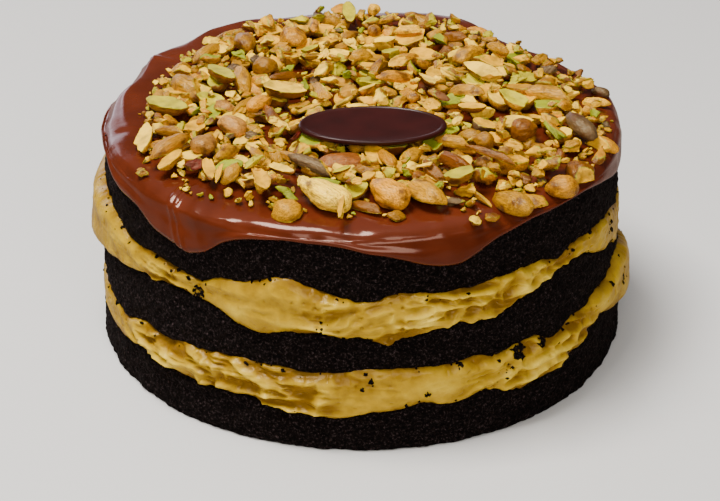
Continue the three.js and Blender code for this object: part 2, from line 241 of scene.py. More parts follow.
# Grain: a fine speckle that roughens a surface, on top of any coarser height.
grain_effect, given, result = new_effect(
    "Grain",
    {"Place": "Vector", "Scale": "Float", "Detail": "Float", "Roughness": "Float",
     "Coarse height": "Float", "Strength": "Float", "Distance": "Float"},
    {"Normal": "Vector"},
)
speckle = speckle_from(grain_effect, given)
height = add_node(grain_effect, "ShaderNodeMath", {0: speckle, 1: given["Coarse height"]})
bump = add_node(grain_effect, "ShaderNodeBump", {
    "Height": height.outputs["Value"], "Strength": given["Strength"],
    "Distance": given["Distance"],
})
set_sockets(grain_effect, result, {"Normal": bump.outputs["Normal"]})

# Mottle: a speckle in three tones, each pure at its own level of the speckle's value. What is added
# to the value makes the surface paler; the cream adds its painted shade and highlight there.
mottle_effect, given, result = new_effect(
    "Mottle",
    {"Place": "Vector", "Scale": "Float", "Detail": "Float", "Roughness": "Float",
     "Added": "Float", "Dark level": "Float", "Medium level": "Float", "Pale level": "Float",
     "Dark": "Color", "Medium": "Color", "Pale": "Color"},
    {"Colour": "Color"},
)
speckle = speckle_from(mottle_effect, given)
tone = add_node(mottle_effect, "ShaderNodeMath", {0: speckle, 1: given["Added"]})
colour = given["Dark"]
for level, next_level, next_tone in [
    ("Dark level", "Medium level", "Medium"),
    ("Medium level", "Pale level", "Pale"),
]:
    share = add_node(mottle_effect, "ShaderNodeMapRange", {
        "Value": tone.outputs["Value"], "From Min": given[level], "From Max": given[next_level],
    })
    blend = add_node(mottle_effect, "ShaderNodeMix", {
        "Factor": share.outputs["Result"], "A": colour, "B": given[next_tone],
    }, data_type="RGBA")
    colour = blend.outputs["Result"]
set_sockets(mottle_effect, result, {"Colour": colour})

crumb_material, tree, shader, place = new_material("Chocolate crumb")
pores = add_node(tree, "ShaderNodeTexVoronoi", {"Vector": place, "Scale": 620})
pits = add_node(tree, "ShaderNodeMath", {0: pores.outputs["Distance"], 1: 0.8},
                operation="MULTIPLY")
# The pale bluish specks are partly paler crumb and partly painted glints, where light would catch
# the crumb's facets.
mottle = add_node(tree, "ShaderNodeGroup", {
    "Place": place, "Scale": 1150, "Detail": 5, "Roughness": 0.75,
    "Dark level": 0.46, "Dark": (0.0014, 0.0008, 0.0007, 1),
    "Medium level": 0.57, "Medium": (0.0110, 0.0066, 0.0058, 1),
    "Pale level": 0.68, "Pale": (0.088, 0.059, 0.061, 1),
}, node_tree=mottle_effect)
grain = add_node(tree, "ShaderNodeGroup", {
    "Place": place, "Scale": 1150, "Detail": 5, "Roughness": 0.75,
    "Coarse height": pits.outputs["Value"], "Strength": 1.0, "Distance": 0.0012,
}, node_tree=grain_effect)
set_sockets(tree, shader, {
    "Base Color": mottle.outputs["Colour"],
    "Normal": grain.outputs["Normal"],
    "Roughness": 0.7,
    "Specular IOR Level": 0.06,
})

SPONGE_STEPS = 960
# How far in from the side each layer's hidden flat part starts, in mm.
HIDDEN_DEPTH = 10
# How wide and how deep the sponges' cut edges are rounded, in mm.
EDGE_WIDTH = 1.1
EDGE_DEPTH = 0.9
# The open crumb, coarse to fine: its depth, its size round the cake and upwards in mm, its seed.
OPEN_CRUMB = [(0.45, 7, 5, 11), (0.34, 2.6, 2.2, 12), (0.3, 1.35, 1.2, 13)]
# How deep the single pores are torn, and how strong a wrinkle makes one.
PORE_DEPTH = 0.9
PORE_FROM = 0.62
# How far each sponge's side swells out between the creams, in mm.
SWELL = 0.3

sponge_angle = (np.arange(SPONGE_STEPS) / SPONGE_STEPS * 2 * math.pi)[:, None]
sponges = [
    ("sponge_bottom_crumb", "sponge_bottom", None, LOWER_BAND_FOOT, 0.0, 21.0, 44),
    ("sponge_middle_crumb", "sponge_middle", LOWER_BAND_HEAD, UPPER_BAND_FOOT, 29.3, 49.0, 44),
    ("sponge_top_crumb", "sponge_top", UPPER_BAND_HEAD, None, 58.3, SPONGE_TOP, 50),
]
for name, node, foot_edge, head_edge, foot_level, head_level, rows in sponges:
    low = around(foot_edge, sponge_angle) + 0.3 if foot_edge else np.zeros_like(sponge_angle)
    high = around(head_edge, sponge_angle) if head_edge else np.full_like(sponge_angle, SPONGE_TOP)
    t = np.linspace(0, 1, rows)[None, :]
    z = low + (high - low) * t
    angle = sponge_angle + 0 * z
    crumb = 0 * z
    for depth, wide, high_up, seed in OPEN_CRUMB:
        crumb += depth * wrinkle(angle, z, wide, high_up, seed)
    crumb -= PORE_DEPTH * np.clip(wrinkle(angle, z, 3.2, 2.4, 14) - PORE_FROM, 0, 1)
    into = np.clip(np.minimum(z - low, high - z) / EDGE_WIDTH, 0, 1)
    rounding = EDGE_DEPTH * (1 - np.sqrt(into * (2 - into)))
    swell = SWELL * np.sin(np.pi * t)
    radius = side_radius(angle, z) + swell + crumb - rounding
    if not foot_edge:
        z[:, 0] = 0
    inner = radius[:, :1] - HIDDEN_DEPTH
    radius = np.concatenate([inner, radius, inner], axis=1)
    foot_ring = np.full_like(sponge_angle, foot_level)
    head_ring = np.full_like(sponge_angle, head_level)
    z = np.concatenate([foot_ring, z, head_ring], axis=1)
    add_piece(name, swept_mesh(name, radius, z), crumb_material, "chocolate_sponge", node)

# ---------------------------------------------------------------------------------------------
# Creams: thick pistachio butter cream, pressed out between the sponges and wiped along them with
# a palette knife, which leaves drawn ridges, folded lips, pits and crumbs torn from the cake.

LOWER_BULGE = [
    [0, 4.2], [20, 2.6], [60, 1.8], [95, 2.8], [130, 2], [180, 1], [210, 1.6], [240, 2.2],
    [270, 2.6], [300, 2.2], [325, 2.4], [340, 4], [350, 5],
]
UPPER_BULGE = [
    [0, 0.8], [40, 1.8], [80, 2.8], [120, 2.2], [160, 3.6], [188, 5.4], [205, 3], [218, 1.4],
    [234, 0.8], [252, 3], [276, 2], [292, 2.6], [312, 1.4], [330, 1.8], [345, 1],
]
CREAM_STEPS = 1440
CREAM_ROWS = 56
# How far a band reaches over the sponge below and above, and starts inside their side, in mm.
OVER_BELOW = 0.4
OVER_ABOVE = 0.7
EDGE_INSET = 1.4
# How high, in mm, the knife's strokes, the leaves it piled up, the lumps and the fine creases stand
# where a band is folded, and how deep its pits are where it is smooth and beyond that.
STROKE, LEAF, LUMP, CREASE = 1.15, 1.15, 0.85, 0.42
PIT_SMOOTH, PIT_FOLDED = 0.8, 1.8

cream_material, tree, shader, place = new_material("Pistachio cream")
# Painted shade and highlight: the cream's colour is made paler on the crests of its relief and
# darker in its hollows and towards its edges, where the sponges overhang it.
painted_fold_shade = add_node(tree, "ShaderNodeAttribute", {}, attribute_name="painted_fold_shade")
painted_fold_tone = add_node(tree, "ShaderNodeMath", {0: painted_fold_shade.outputs["Fac"], 1: 0.30},
                 operation="MULTIPLY")
mottle = add_node(tree, "ShaderNodeGroup", {
    "Place": place, "Scale": 130, "Detail": 6, "Roughness": 0.5,
    "Added": painted_fold_tone.outputs["Value"],
    "Dark level": 0.1, "Dark": (0.21, 0.100, 0.003, 1),
    "Medium level": 0.5, "Medium": (0.465, 0.282, 0.011, 1),
    "Pale level": 0.95, "Pale": (0.72, 0.50, 0.045, 1),
}, node_tree=mottle_effect)
grain = add_node(tree, "ShaderNodeGroup", {
    "Place": place, "Scale": 900, "Detail": 3, "Roughness": 0.5,
    "Strength": 0.35, "Distance": 0.0005,
}, node_tree=grain_effect)
set_sockets(tree, shader, {
    "Base Color": mottle.outputs["Colour"],
    "Normal": grain.outputs["Normal"],
    "Roughness": 0.28,
    "Specular IOR Level": 0.25,
    "Specular Tint": (1.0, 0.84, 0.5, 1),
    "Subsurface Weight": 0.05,
    "Subsurface Radius": (0.003, 0.002, 0.0008),
})

# How folded each band is round the cake, from 0 where the knife left it smooth to 1.
LOWER_FOLDS = [
    [0, 0.2], [40, 0.8], [90, 0.4], [130, 0.9], [170, 0.3], [195, 0.15], [212, 0.25], [218, 1],
    [237, 1], [256, 0.9], [264, 0.5], [271, 0.2], [290, 0.25], [298, 0.8], [314, 1], [322, 0.8],
    [328, 0.3], [345, 0.15],
]
UPPER_FOLDS = [
    [0, 0.3], [40, 0.4], [90, 0.9], [130, 0.5], [180, 0.1], [205, 0.15], [218, 0.4], [226, 0.9],
    [233, 0.25], [246, 0.15], [257, 0.3], [263, 0.9], [272, 0.7], [280, 1], [296, 0.9], [304, 1],
    [313, 0.8], [326, 0.4], [345, 0.2],
]

cream_angle = (np.arange(CREAM_STEPS) / CREAM_STEPS * 2 * math.pi)[:, None]
cream_surfaces = []
creams = [
    ("cream_lower_band", "cream_lower", LOWER_BAND_FOOT, LOWER_BAND_HEAD, LOWER_BULGE,
     LOWER_FOLDS, 21.3, 29, 40),
    ("cream_upper_band", "cream_upper", UPPER_BAND_FOOT, UPPER_BAND_HEAD, UPPER_BULGE,
     UPPER_FOLDS, 49.3, 58, 70),
]
for layer in creams:
    name, node, foot_edge, head_edge, bulge_curve, fold_curve, foot_level, head_level, seed = layer
    level = 0 * cream_angle
    folds = np.clip(around(fold_curve, cream_angle), 0.1, 1)
    low = around(foot_edge, cream_angle) - OVER_BELOW
    high = around(head_edge, cream_angle) + OVER_ABOVE
    low = low + 0.50 * wrinkle(cream_angle, level, 5, 5, seed)
    low = low + (0.12 + 0.34 * folds) * wrinkle(cream_angle, level, 1.7, 5, seed + 1)
    high = high + 0.50 * wrinkle(cream_angle, level, 6, 5, seed + 2)
    high = high + (0.10 + 0.34 * folds) * wrinkle(cream_angle, level, 1.8, 5, seed + 3)
    t = np.linspace(0, 1, CREAM_ROWS)[None, :]
    z = low + (high - low) * t
    angle = cream_angle + 0 * z
    bulge = around(bulge_curve, cream_angle)
    lip = (1 - np.abs(2 * t - 1) ** 5) ** 0.7
    # The knife's strokes run along the band and drift up and down. Where it stopped and set off
    # again, the cream is piled in leaves and lumps.
    drift = 2.2 * wrinkle(angle, z, 24, 12, seed + 4) + 0.8 * wrinkle(angle, z, 9, 6, seed + 9)
    strokes = 1 - 3.0 * np.abs(wrinkle(angle, z + drift, 30, 4.4, seed + 5))
    leaves = 1 - 2.6 * np.abs(wrinkle(angle + 0.035 * drift, z + 1.5 * drift, 11, 4.2, seed + 6))
    lumps = wrinkle(angle + 0.02 * drift, z, 5.0, 3.6, seed + 7)
    creases = 1 - 3.0 * np.abs(wrinkle(angle + 0.01 * drift, z + drift, 4.2, 1.9, seed + 10))
    pores = wrinkle(angle, z, 1.3, 1.1, seed + 11)
    pits = np.clip(wrinkle(angle, z, 2.0, 1.7, seed + 8) - 0.62, 0, 1)
    relief = folds * (STROKE * strokes + LEAF * leaves + LUMP * lumps + CREASE * creases)
    relief = relief + 0.5 * (1 - folds) * wrinkle(angle, z, 22, 6, seed + 12)
    relief = relief + 0.08 * pores - (PIT_SMOOTH + PIT_FOLDED * folds) * pits - 0.8 * folds
    relief = relief * np.clip(lip * 1.3, 0, 1)
    # Both edges of a band start inside the sponges' side.
    radius = side_radius(angle, z) - EDGE_INSET + (bulge + EDGE_INSET) * lip + relief
    cream_surfaces.append((z, radius))
    # Painted shade and highlight from the relief: paler on crests, darker in hollows and towards
    # the band's edges.
    painted_fold_shade = np.pad(relief - 1.5 * (1 - lip), ((0, 0), (1, 1)))
    inner = side_radius(cream_angle, low) - HIDDEN_DEPTH
    radius = np.concatenate([inner, radius, inner], axis=1)
    foot_ring = np.full_like(cream_angle, foot_level)
    head_ring = np.full_like(cream_angle, head_level)
    z = np.concatenate([foot_ring, z, head_ring], axis=1)
    mesh = swept_mesh(name, radius, z)
    height = mesh.attributes.new("painted_fold_shade", "FLOAT", "POINT")
    height.data.foreach_set("value", np.concatenate([painted_fold_shade.ravel(), [0, 0]]))
    add_piece(name, mesh, cream_material, "pistachio_cream", node)

# ---------------------------------------------------------------------------------------------
# Ganache: milk chocolate and cream poured on while warm. It lies level on top, rounds over the
# rim and set as a thick hem with two broad drips in front.

HEM_HEIGHT = [
    [0, 75], [18, 80], [45, 76.5], [68, 81], [92, 82], [112, 77], [135, 81.5], [160, 80],
    [180, 82], [196, 82.3], [202, 79.6], [208, 77], [216, 76.8], [221, 73], [228, 70.1],
    [232, 68.8], [236, 71.2], [241, 77.3], [247, 80.8], [256, 82], [265, 81.5], [273, 78.5],
    [279, 76], [283.5, 73.6], [287.5, 72.5], [291, 73.1], [294.5, 75.6], [298.5, 78.8],
    [303, 80.8], [309, 82.2], [324, 82], [333, 79.2], [342, 75.2], [350, 73.2],
]
# How thick the hem is, and how far in from the rim the top starts to round over, in mm.
HEM_BEAD = [[0, 0.9], [25, 1.2], [60, 1.9], [318, 2.0], [340, 1.1]]
RIM_ROUNDING = [
    [0, 10], [30, 7], [60, 8], [100, 10], [118, 5], [168, 5], [182, 9], [198, 13], [330, 13],
    [345, 8],
]
GANACHE_STEPS = 900
GANACHE_SHOULDER = 82.8
GANACHE_TOP = 88.0

ganache_material, tree, shader, place = new_material("Milk chocolate ganache")
mottle = add_node(tree, "ShaderNodeGroup", {
    "Place": place, "Scale": 60, "Detail": 3, "Roughness": 0.5,
    "Dark level": 0.35, "Dark": (0.068, 0.0110, 0.0034, 1),
    "Medium level": 0.525, "Medium": (0.086, 0.0145, 0.0047, 1),
    "Pale level": 0.7, "Pale": (0.104, 0.0180, 0.0060, 1),
}, node_tree=mottle_effect)
grain = add_node(tree, "ShaderNodeGroup", {
    "Place": place, "Scale": 220, "Detail": 2, "Roughness": 0.5,
    "Strength": 0.12, "Distance": 0.0006,
}, node_tree=grain_effect)
set_sockets(tree, shader, {
    "Base Color": mottle.outputs["Colour"],
    "Normal": grain.outputs["Normal"],
    "Roughness": 0.15,
    "Specular IOR Level": 0.42,
    "Specular Tint": (1.0, 0.66, 0.54, 1),
})

ganache_angle = (np.arange(GANACHE_STEPS) / GANACHE_STEPS * 2 * math.pi)[:, None]
hem = around(HEM_HEIGHT, ganache_angle)
hem = hem + 0.3 * wrinkle(ganache_angle, 0 * ganache_angle, 9, 5, 90)
wall = side_radius(ganache_angle, hem) + 0.4
bead = around(HEM_BEAD, ganache_angle) * (0.7 + 0.3 * np.clip((GANACHE_SHOULDER - hem) / 10, 0, 1))
drop = GANACHE_SHOULDER - hem
rounding = around(RIM_ROUNDING, ganache_angle)
# The coat's section: radius and height in mm, from its underside out along the wall, round the
# hem, up over the rim and in to the level top.
profile = [
    (wall - 8, SPONGE_TOP + 0.3 + 0 * hem),
    (wall - 1.9, SPONGE_TOP + 0.3 + 0 * hem),
    (wall - 0.2, GANACHE_SHOULDER + 0.3 + 0 * hem),
    (wall, hem + 0.3 * drop),
    (wall + 0.02, hem + 0.5),
    (wall + 0.35 * bead, hem),
    (wall + 0.9 * bead, hem + 0.3),
    (wall + 1.2 * bead, hem + 0.1 * drop + 0.9),
    (wall + 1.1 * bead, hem + 0.25 * drop + 1.4),
    (wall + 0.75 * bead, hem + 0.6 * drop + 1.1),
    (wall + 0.5 * bead, GANACHE_SHOULDER + 0.6 + 0 * hem),
    (wall - 0.9, SPONGE_TOP + 1.35 + 0 * hem),
    (wall - 0.25 * rounding - 0.1, GANACHE_TOP - 1.35 + 0 * hem),
    (wall - 0.54 * rounding, GANACHE_TOP - 0.62 + 0 * hem),
    (wall - rounding, GANACHE_TOP - 0.12 + 0 * hem),
    (wall - 24, GANACHE_TOP + 0 * hem),
]
# Knots are the points of the profile, counted from 0. The hem and the rim get the most rows.
fine_knots = np.concatenate(
    [np.linspace(0, 3, 8)[:-1], np.linspace(3, 14, 78)[:-1], np.linspace(14, 15, 10)]
)


def smooth_profile(column):
    """The profile's values between its points, on a Catmull-Rom curve."""
    values = np.concatenate([column[:, :1], column, column[:, -1:]], axis=1)
    i = np.minimum(fine_knots.astype(int), len(profile) - 2)
    t = fine_knots - i
    a, b, c, d = (values[:, i + k] for k in range(4))
    return 0.5 * (
        2 * b + (c - a) * t + (2 * a - 5 * b + 4 * c - d) * t**2 + (3 * b - a - 3 * c + d) * t**3
    )


radius = smooth_profile(np.concatenate([p[0] for p in profile], axis=1))
z = smooth_profile(np.concatenate([p[1] for p in profile], axis=1))
angle = ganache_angle + 0 * z
outside = np.clip((fine_knots - 5) / 2, 0, 1) * np.clip((15 - fine_knots) / 2, 0, 1)
sag = 0.05 * wrinkle(angle, z, 16, 8, 93)
flow = wrinkle(angle + sag, 0.9 * z + 0.35 * (100 - radius), 17, 4.5, 91)
ripple = wrinkle(angle + sag, 0.8 * z + 0.2 * (100 - radius), 7, 3.5, 92)
# Late runs, drawn out over the rim where the pot was lifted: degrees, width in degrees, height.
late_runs = [
    (225.2, 0.55, 0.6), (226.9, 0.45, 0.9), (232, 1.4, 0.4), (286, 1.6, 0.3), (150, 0.7, 0.5),
    (100, 0.8, 0.5), (20, 0.7, 0.5),
]
runs = 0 * angle
for degrees, width, height in late_runs:
    lean = degrees + 2.6 * (GANACHE_TOP - z) / 10
    runs = runs + height * np.exp(-(((np.degrees(angle) - lean) / width) ** 2))
runs *= np.clip((radius - wall + 17) / 8, 0, 1)
radius = radius + outside * (0.6 * flow + 0.16 * ripple + 0.8 * runs)
z = z + outside * (0.45 * flow + 0.12 * ripple + 0.8 * runs) * (radius < wall + 0.2)
mesh = swept_mesh("ganache_coat", radius, z)
add_piece("ganache_coat", mesh, ganache_material, "ganache", "ganache")

# ---------------------------------------------------------------------------------------------
# Chopped pistachios: shelled, roasted and chopped by hand. Kernels, split halves and chunks lie
# two deep on the ganache, with bits, curls of skin and crumbs of all sizes between them.

HEAP_EDGE = [
    [0, 92.5], [12, 91], [22, 88], [35, 85.5], [48, 83.5], [56, 87], [65, 91], [90, 91],
    [114, 88], [138, 87], [152, 84], [168, 82], [188, 82.5], [200, 85], [211, 90], [232, 89.5],
    [247, 86.5], [256, 90], [275, 87], [285, 85], [296, 91], [315, 93], [335, 94],
]
NUT_FLOOR = GANACHE_TOP + 0.2
HEAP_HEIGHT = 9.5
PLAQUE_X, PLAQUE_Y, PLAQUE_Z = 4, -33, 95.4
PLAQUE_LENGTH, PLAQUE_WIDTH = 54, 28

NUT_COLOURS = {
    "gold": (0.425, 0.190, 0.0004),
    "tan": (0.30, 0.122, 0.001),
    "orange": (0.55, 0.222, 0.0003),
    "brown": (0.20, 0.064, 0.002),
    "rust": (0.20, 0.055, 0.004),
    "red": (0.12, 0.008, 0.003),
    "rose": (0.38, 0.165, 0.026),
    "grey": (0.11, 0.060, 0.022),
    "straw": (0.78, 0.39, 0.001),
    "cream": (1.0, 0.61, 0.032),
    "lime": (0.52, 0.42, 0.003),
    "green": (0.26, 0.29, 0.002),
}
SKINS = ["gold"] * 7 + ["tan"] * 5 + ["orange"] * 3 + ["brown"] * 2 + ["rust", "grey", "rose"]
FLESHES = ["straw"] * 6 + ["cream"] * 5 + ["lime"] * 3 + ["gold"] * 3 + ["green"] * 2

# The pieces that lie on top: x, y, length, width in mm, heading in degrees, kind, colour.
# h is a split half on its flat face, c one with its flat face up, w a whole kernel, b a broken
# chunk, k a curl and f a flake of skin.
TOP_NUTS = [
    (-79, -32, 18, 6, 85, "c", "cream"),
    (-69, -45, 17, 6, 45, "h", "tan"),
    (-70, -29, 12, 4, 155, "h", "tan"),
    (-67, -21, 18, 2, 155, "f", "red"),
    (-72, -9, 19, 7, 140, "c", "lime"),
    (-66, 6, 17, 9, 135, "h", "gold"),
    (-69, 28, 12, 7, 65, "h", "gold"),
    (-61, 41, 14, 5, 50, "h", "gold"),
    (-53, 12, 19, 6, 120, "c", "lime"),
    (-46, 47, 16, 8, 100, "w", "tan"),
    (-54, 62, 16, 4, 40, "h", "gold"),
    (-42, 70, 13, 4, 35, "c", "cream"),
    (-45, 12, 16, 7, 100, "h", "gold"),
    (-37, 24, 9, 8, 0, "w", "tan"),
    (-29, 16, 16, 4, 40, "h", "brown"),
    (-44, -8, 18, 4, 70, "h", "gold"),
    (-38, -11, 12, 6, 50, "w", "orange"),
    (-29, -1, 15, 8, 15, "c", "cream"),
    (-15, -0, 17, 6, 100, "k", "cream"),
    (-7, -5, 7, 3, 170, "b", "cream"),
    (-32, -25, 15, 5, 120, "k", "cream"),
    (-36, -30, 14, 2, 105, "f", "cream"),
    (-20, -10, 11, 2, 25, "f", "cream"),
    (-47, -28, 11, 8, 150, "w", "rose"),
    (-56, -29, 11, 3, 60, "b", "straw"),
    (-56, -44, 10, 8, 40, "w", "rose"),
    (-59, -56, 8, 6, 35, "b", "red"),
    (-68, -53, 12, 5, 55, "c", "straw"),
    (-78, -53, 5, 4, 165, "b", "gold"),
    (-54, -61, 13, 4, 100, "c", "straw"),
    (-46, -65, 9, 5, 50, "b", "tan"),
    (-50, -68, 11, 2, 80, "f", "cream"),
    (-48, -50, 13, 4, 55, "h", "gold"),
    (-37, -54, 12, 4, 110, "b", "gold"),
    (-34, -51, 10, 3, 135, "b", "straw"),
    (-28, -62, 12, 3, 135, "c", "cream"),
    (-35, -73, 13, 6, 105, "c", "straw"),
    (-26, -73, 8, 5, 20, "b", "green"),
    (-24, -48, 19, 4, 155, "h", "tan"),
    (-19, -39, 11, 5, 130, "c", "green"),
    (-24, -38, 8, 3, 60, "b", "red"),
    (-14, -45, 9, 3, 120, "b", "straw"),
    (-6, -52, 19, 9, 10, "h", "rust"),
    (-18, -60, 17, 5, 155, "h", "grey"),
    (-7, -63, 7, 2, 35, "c", "lime"),
    (-13, -80, 19, 10, 145, "w", "cream"),
    (-26, -85, 10, 9, 20, "h", "gold"),
    (-7, -89, 13, 2, 85, "f", "gold"),
    (9, -50, 14, 5, 110, "h", "orange"),
    (9, -78, 16, 10, 130, "w", "orange"),
    (-3, -74, 7, 4, 145, "b", "straw"),
    (1, -82, 13, 4, 140, "h", "brown"),
    (12, -88, 6, 4, 15, "b", "cream"),
    (18, -47, 11, 6, 50, "h", "gold"),
    (23, -44, 5, 4, 10, "b", "cream"),
    (16, -60, 5, 4, 15, "b", "green"),
    (25, -63, 14, 5, 115, "k", "cream"),
    (22, -63, 6, 2, 165, "b", "cream"),
    (22, -77, 19, 9, 125, "h", "gold"),
    (32, -57, 16, 5, 130, "h", "rust"),
    (33, -39, 13, 5, 165, "h", "gold"),
    (34, -71, 10, 7, 20, "c", "lime"),
    (41, -69, 6, 5, 40, "b", "straw"),
    (32, -79, 7, 4, 30, "b", "grey"),
    (42, -76, 9, 3, 155, "b", "straw"),
    (44, -41, 7, 6, 165, "w", "tan"),
    (51, -36, 14, 5, 75, "b", "cream"),
    (51, -52, 5, 4, 0, "b", "orange"),
    (46, -55, 19, 3, 155, "h", "brown"),
    (52, -80, 19, 8, 125, "w", "gold"),
    (45, -85, 5, 4, 0, "b", "orange"),
    (39, -88, 8, 4, 80, "b", "cream"),
    (59, -30, 9, 9, 0, "w", "brown"),
    (40, -31, 9, 6, 165, "w", "gold"),
    (70, -67, 11, 8, 165, "w", "orange"),
    (60, -76, 9, 7, 145, "b", "orange"),
    (77, -53, 12, 9, 120, "h", "brown"),
    (86, -40, 9, 4, 65, "b", "orange"),
    (88, -31, 12, 6, 155, "h", "orange"),
    (80, -28, 15, 7, 125, "w", "grey"),
    (66, -39, 15, 5, 130, "h", "gold"),
    (70, -32, 10, 4, 135, "b", "green"),
    (62, -47, 8, 4, 160, "b", "straw"),
    (66, -49, 7, 2, 20, "f", "cream"),
    (70, 1, 19, 7, 160, "h", "gold"),
    (39, 2, 15, 6, 150, "h", "gold"),
    (46, 15, 16, 6, 140, "c", "cream"),
    (56, -10, 12, 7, 140, "c", "lime"),
    (13, 13, 15, 5, 25, "h", "orange"),
    (17, 31, 16, 6, 50, "h", "orange"),
    (9, 43, 9, 7, 165, "c", "cream"),
    (11, 31, 7, 5, 140, "c", "lime"),
    (25, 12, 15, 4, 110, "c", "cream"),
    (29, -3, 9, 4, 150, "b", "rust"),
    (24, 77, 15, 6, 145, "h", "gold"),
    (-5, 73, 13, 5, 95, "c", "lime"),
    (-8, 91, 9, 5, 40, "b", "orange"),
    (47, 66, 12, 5, 145, "h", "orange"),
    (41, 34, 13, 7, 30, "h", "gold"),
    (37, 55, 11, 5, 160, "h", "brown"),
    (53, 42, 11, 5, 130, "h", "gold"),
    (69, 27, 11, 4, 40, "h", "gold"),
    (62, 32, 8, 4, 140, "b", "straw"),
    (57, 21, 6, 4, 155, "b", "lime"),
    (41, -14, 10, 4, 165, "c", "straw"),
    (88, 2, 11, 4, 160, "h", "straw"),
    (87, -12, 8, 4, 160, "b", "straw"),
    (91, 12, 7, 4, 155, "w", "grey"),
    (0, 32, 11, 6, 45, "h", "gold"),
    (5, 21, 11, 4, 55, "b", "brown"),
    (5, 76, 5, 5, 0, "w", "straw"),
    (2, 3, 11, 4, 55, "c", "cream"),
    (-10, 23, 11, 3, 165, "k", "tan"),
    (-20, 39, 8, 3, 40, "c", "lime"),
    (-28, 52, 13, 9, 120, "h", "orange"),
    (-19, 59, 17, 4, 95, "h", "orange"),
    (-12, 70, 8, 5, 150, "h", "gold"),
    (-5, 55, 10, 4, 35, "h", "tan"),
    (5, 57, 5, 5, 0, "w", "tan"),
    (18, 54, 11, 4, 160, "h", "straw"),
    (-20, 29, 8, 4, 30, "b", "rust"),
    (35, -23, 6, 3, 45, "b", "cream"),
    (28, -22, 8, 3, 145, "b", "gold"),
    (77, -19, 7, 4, 130, "b", "tan"),
    (84, 31, 4, 3, 160, "b", "brown"),
    (78, 14, 6, 3, 155, "b", "straw"),
]

# The pieces below and in between: how many, their length from and to in mm, their kind, and how
# far in from the heap's edge they stay, in mm.
LOWER_NUTS = [(90, 12.5, 10, "h", 6), (90, 10, 8, "b", 6)]
FILL_NUTS = [(130, 8.5, 6.5, "b", 1), (250, 6.0, 4.0, "chunk", 1), (330, 3.6, 1.2, "crumb", -2)]
THICKNESS = {
    "h": 0.55, "c": 0.55, "w": 0.85, "b": 0.68, "k": 0.6, "f": 0.3, "chunk": 0.7, "crumb": 0.75,
}
# The side of the squares, in mm, by which pieces that may touch are found.
SQUARE = 14
# How far in from the rim the ganache is level, in mm, and how fast it falls away outside that.
LEVEL_INSET = 13
FALL = 0.014
# How high the middle of a piece lies over the ganache, as a share of its height: a little sunk in.
SUNK_IN = 0.42
# How far apart the middles of two pieces come to rest, as a share of both their heights, where one
# is laid on top and where it is pushed in between, and how much of a piece's length others touch.
ON_TOP = 0.52
BETWEEN = 0.42
TOUCHED = 0.46
# The room left under the plaque, in mm, and how many spots a scattered piece tries.
UNDER_PLAQUE = 0.8
TRIES = 9
# How much further in from its edge the scattered pieces stay at the back of the heap, in mm.
BARE_AT_BACK = 6
# How much longer and wider the top pieces are made than they were read from the photograph.
LONGER = 1.1
WIDER = 1.12


def draw(i, k):
    """A number from 0 to 1 that looks random and is the same each time."""
    x = math.sin(i * 12.9898 + k * 78.233) * 43758.5453
    return x - math.floor(x)


def nut_floor(x, y):
    """The height of the ganache under a piece: level, and rounding down near the rim."""
    angle = math.atan2(y, x)
    over = math.hypot(x, y) - (float(around(TOP_OUTLINE, angle)) - LEVEL_INSET)
    return NUT_FLOOR - FALL * max(0, over) ** 2


# The pieces that lie there already, by square and by kind.
lying = {}
pieces_by_kind = {}


def rest_height(nut, x, y, open_top):
    """How low a piece comes to rest at x, y on the pieces that lie there already, or infinity."""
    z = nut_floor(x, y) + SUNK_IN * nut["high"]
    column, row = int(x // SQUARE), int(y // SQUARE)
    share = ON_TOP if open_top else BETWEEN
    for square in [(column + i, row + j) for i in (-1, 0, 1) for j in (-1, 0, 1)]:
        for other in lying.get(square, ()):
            east, north = x - other["x"], y - other["y"]
            along = east * other["cos"] + north * other["sin"]
            across = north * other["cos"] - east * other["sin"]
            along /= TOUCHED * other["long"] + nut["reach"]
            across /= TOUCHED * other["wide"] + nut["reach"]
            apart = math.hypot(along, across)
            if apart < 1:
                if other["on_top"] and apart < 0.9 and not open_top:
                    return math.inf
                stacked = share * (nut["high"] + other["high"]) * math.sqrt(1 - apart * apart)
                z = max(z, other["z"] + stacked)
    over_x = (x - PLAQUE_X) / (PLAQUE_LENGTH / 2 + nut["reach"])
    over_y = (y - PLAQUE_Y) / (PLAQUE_WIDTH / 2 + nut["reach"])
    plaque_above = math.hypot(over_x, over_y) < 1
    ceiling = PLAQUE_Z - UNDER_PLAQUE if plaque_above else NUT_FLOOR + HEAP_HEIGHT
    ceiling -= nut["high"] / 2
    if open_top:
        return min(z, ceiling)
    return z if z < ceiling else math.inf


def lay_down(nut):
    """Keeps a piece where it has come to rest."""
    heading = nut["turn"][2]
    nut["cos"], nut["sin"] = math.cos(heading), math.sin(heading)
    lying.setdefault((int(nut["x"] // SQUARE), int(nut["y"] // SQUARE)), []).append(nut)
    pieces_by_kind.setdefault(nut["kind"], []).append(nut)


def new_nut(i, kind, long, wide, heading, skin, flesh):
    """A piece before it is laid down: its size, its reach around its middle and its turn."""
    tilt = 0.5 if kind in ("b", "chunk", "crumb") else 0.22
    flip = kind == "c" or (kind in ("h", "b") and not skin)
    skin = skin or SKINS[int(draw(i, 20) * len(SKINS))]
    flesh = flesh or FLESHES[int(draw(i, 21) * len(FLESHES))]
    bright = 0.78 + 0.4 * draw(i, 22)
    return {
        "i": i, "kind": kind, "long": long, "wide": wide, "on_top": False,
        "high": wide * THICKNESS[kind] * (0.9 + 0.25 * draw(i, 3)) + (0.8 if kind in "hcf" else 0),
        "reach": 0.42 * math.sqrt(long * wide),
        "turn": (
            (draw(i, 5) - 0.5) * 2 * tilt + (math.pi if flip else 0),
            (draw(i, 7) - 0.5) * 2 * tilt,
            heading,
        ),
        "skin": [bright * c for c in NUT_COLOURS[skin]],
        "flesh": [(0.5 + 0.5 * bright) * c for c in NUT_COLOURS[flesh]],
    }


